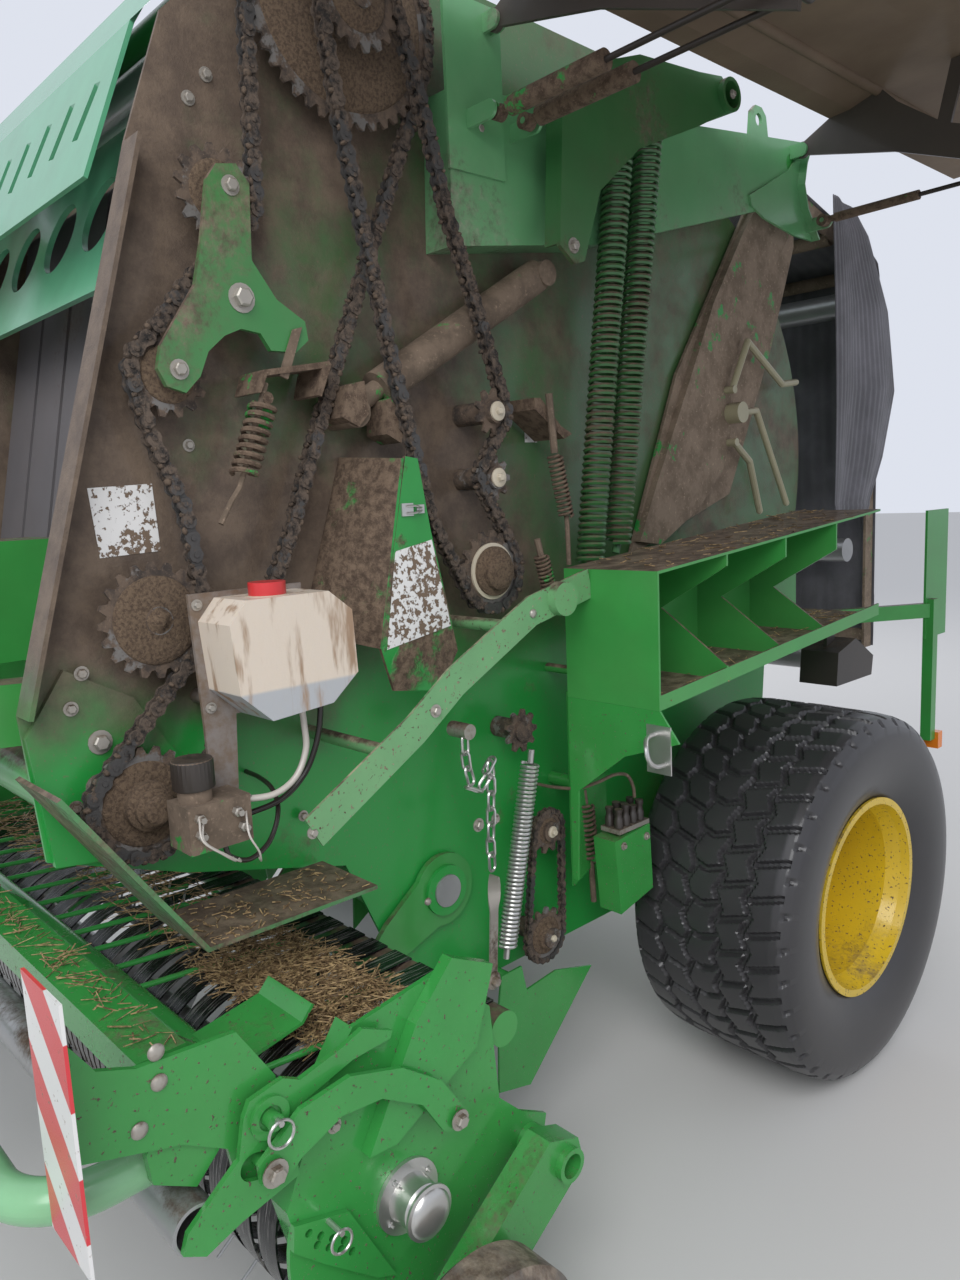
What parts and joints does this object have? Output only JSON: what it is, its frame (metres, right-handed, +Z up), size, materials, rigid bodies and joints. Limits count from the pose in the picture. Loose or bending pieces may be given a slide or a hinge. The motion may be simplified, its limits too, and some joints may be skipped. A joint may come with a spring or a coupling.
{
  "type": "round baler",
  "caption": "Towed round baler with a belt chamber, wide tined pickup, lifting side covers, twine boxes, tailgate curtain and drawbar on a jack.",
  "frame": {"origin": "middle of the towing eye's bore at the drawbar's front end", "axes": "+X to the machine's left, +Y rearwards, +Z up along the towing eye's bore"},
  "size_m": [3.6325, 4.662, 2.8824],
  "materials": {
    "green_paint": "satin farm green enamel",
    "dusty_paint": "green enamel under dried field dust",
    "panel_paint": "satin farm green enamel",
    "bare_steel": "bare and zinc-plated steel",
    "chain_steel": "oiled steel caked with dust",
    "belt_rubber": "ribbed belt rubber",
    "black_rubber": "black rubber sheet",
    "black_plastic": "black moulded plastic",
    "black_bands": "worn gloss black bands",
    "tank_plastic": "milky plastic, dusty",
    "red_cap": "red plastic",
    "tyre": "black tyre rubber",
    "yellow_rim": "yellow enamel, dusty",
    "board_red_white": "red and white reflective stripes",
    "lamp_orange": "orange lamp lens"
  },
  "bodies": {
    "chassis": {"side_walls": "green_paint", "frame_tubes": "green_paint", "top_beams": "green_paint", "hole_beam": "green_paint", "front_guard": "green_paint", "belts": "belt_rubber", "chamber_rollers": "bare_steel", "axle": "green_paint", "drawbar": "green_paint", "gearbox": "green_paint", "jack_tube": "bare_steel", "drive_chains": "chain_steel", "sprockets": "chain_steel", "chain_tensioner": "green_paint", "oil_tank": "tank_plastic", "oil_cap": "red_cap", "oil_pump": "bare_steel", "drip_tray": "green_paint", "label_shield": "green_paint", "tension_cylinders": "dusty_paint", "tension_springs": "green_paint", "crank_plates": "green_paint", "guard_bars": "dusty_paint", "twine_boxes": "green_paint", "wheel_fenders": "green_paint", "lamp_posts": "green_paint", "rear_lamps": "lamp_orange", "wheel_chock": "black_plastic"},
    "jack_foot": {"jack_leg": "bare_steel"},
    "gate": {"gate_frame": "green_paint", "gate_curtain": "black_rubber", "gate_rollers": "bare_steel", "gate_bows": "green_paint"},
    "panel_l": {"panel_left": "dusty_paint", "panel_arms_left": "bare_steel"},
    "panel_r": {"panel_right": "panel_paint", "panel_arms_right": "bare_steel"},
    "barrels_l": {"strut_barrel_left": "black_plastic"},
    "rods_l": {"strut_rod_left": "bare_steel"},
    "barrels_r": {"strut_barrel_right": "black_plastic"},
    "rods_r": {"strut_rod_right": "bare_steel"},
    "pickup": {"pickup_frame": "green_paint", "pickup_hinges": "green_paint", "pickup_shields": "green_paint", "pickup_bands": "black_bands", "reel_hubs": "bare_steel", "lift_arms": "green_paint", "bumper": "green_paint", "warning_boards": "board_red_white"},
    "reel": {"pickup_reel": "bare_steel"},
    "wind_guard": {"wind_guard": "green_paint", "press_roller": "bare_steel"},
    "rotor": {"feed_rotor": "green_paint", "rotor_stubs": "bare_steel"},
    "gauge_l": {"gauge_wheel_left": "tyre"},
    "gauge_r": {"gauge_wheel_right": "tyre"},
    "wheel_l": {"tyre_left": "tyre", "rim_left": "yellow_rim"},
    "wheel_r": {"tyre_right": "tyre", "rim_right": "yellow_rim"}
  },
  "joints": [
    {"name": "wheel_left_spin", "type": "hinge", "parent": "chassis", "child": "wheel_l", "pos_m": [1, 3.15, 0.035], "axis": [1, 0, 0], "continuous": true},
    {"name": "wheel_right_spin", "type": "hinge", "parent": "chassis", "child": "wheel_r", "pos_m": [-1, 3.15, 0.035], "axis": [1, 0, 0], "continuous": true},
    {"name": "jack_slide", "type": "slide", "parent": "chassis", "child": "jack_foot", "axis": [0, 0, 1], "range_m": [0, 0.25]},
    {"name": "gate_lift", "type": "hinge", "parent": "chassis", "child": "gate", "pos_m": [0, 3.62, 2.188], "axis": [1, 0, 0], "range_deg": [0, 65]},
    {"name": "panel_left_swing", "type": "hinge", "parent": "chassis", "child": "panel_l", "pos_m": [0.74, 3.15, 2.22], "axis": [0, 1, 0], "range_deg": [0, 70]},
    {"name": "panel_right_swing", "type": "hinge", "parent": "chassis", "child": "panel_r", "pos_m": [-0.74, 3.15, 2.22], "axis": [0, 1, 0], "range_deg": [0, 70]},
    {"name": "strut_left_swing", "type": "hinge", "parent": "chassis", "child": "barrels_l", "pos_m": [0.78, 3.15, 2.01], "axis": [0, 1, 0], "range_deg": [0, 89.4]},
    {"name": "strut_left_slide", "type": "slide", "parent": "barrels_l", "child": "rods_l", "axis": [0.9999, 0, 0.0154], "range_m": [-0.146, 0]},
    {"name": "strut_right_swing", "type": "hinge", "parent": "chassis", "child": "barrels_r", "pos_m": [-0.78, 3.15, 2.01], "axis": [0, 1, 0], "range_deg": [0, 89.4]},
    {"name": "strut_right_slide", "type": "slide", "parent": "barrels_r", "child": "rods_r", "axis": [-0.0286, 0, -0.9996], "range_m": [0, 0.146]},
    {"name": "pickup_lift", "type": "hinge", "parent": "chassis", "child": "pickup", "pos_m": [0, 2.09, 0.24], "axis": [-1, 0, 0], "range_deg": [0, 10]},
    {"name": "reel_spin", "type": "hinge", "parent": "pickup", "child": "reel", "pos_m": [0, 1.59, -0.05], "axis": [1, 0, 0], "continuous": true},
    {"name": "wind_guard_tilt", "type": "hinge", "parent": "pickup", "child": "wind_guard", "pos_m": [0, 1.32, 0.255], "axis": [1, 0, 0], "range_deg": [0, 15]},
    {"name": "gauge_left_spin", "type": "hinge", "parent": "pickup", "child": "gauge_l", "pos_m": [1.263, 1.6, -0.287], "axis": [1, 0, 0], "continuous": true},
    {"name": "gauge_right_spin", "type": "hinge", "parent": "pickup", "child": "gauge_r", "pos_m": [-1.263, 1.6, -0.287], "axis": [1, 0, 0], "continuous": true},
    {"name": "rotor_spin", "type": "hinge", "parent": "chassis", "child": "rotor", "pos_m": [0, 2.09, 0.24], "axis": [1, 0, 0], "continuous": true}
  ],
  "couplings": [
    {"joint": "strut_left_swing", "follows": "panel_left_swing", "ratio": 1.2749},
    {"joint": "strut_left_slide", "follows": "panel_left_swing", "m_per_rad": -0.11815},
    {"joint": "strut_right_swing", "follows": "panel_right_swing", "ratio": 1.2749},
    {"joint": "strut_right_slide", "follows": "panel_right_swing", "m_per_rad": 0.11815}
  ]
}
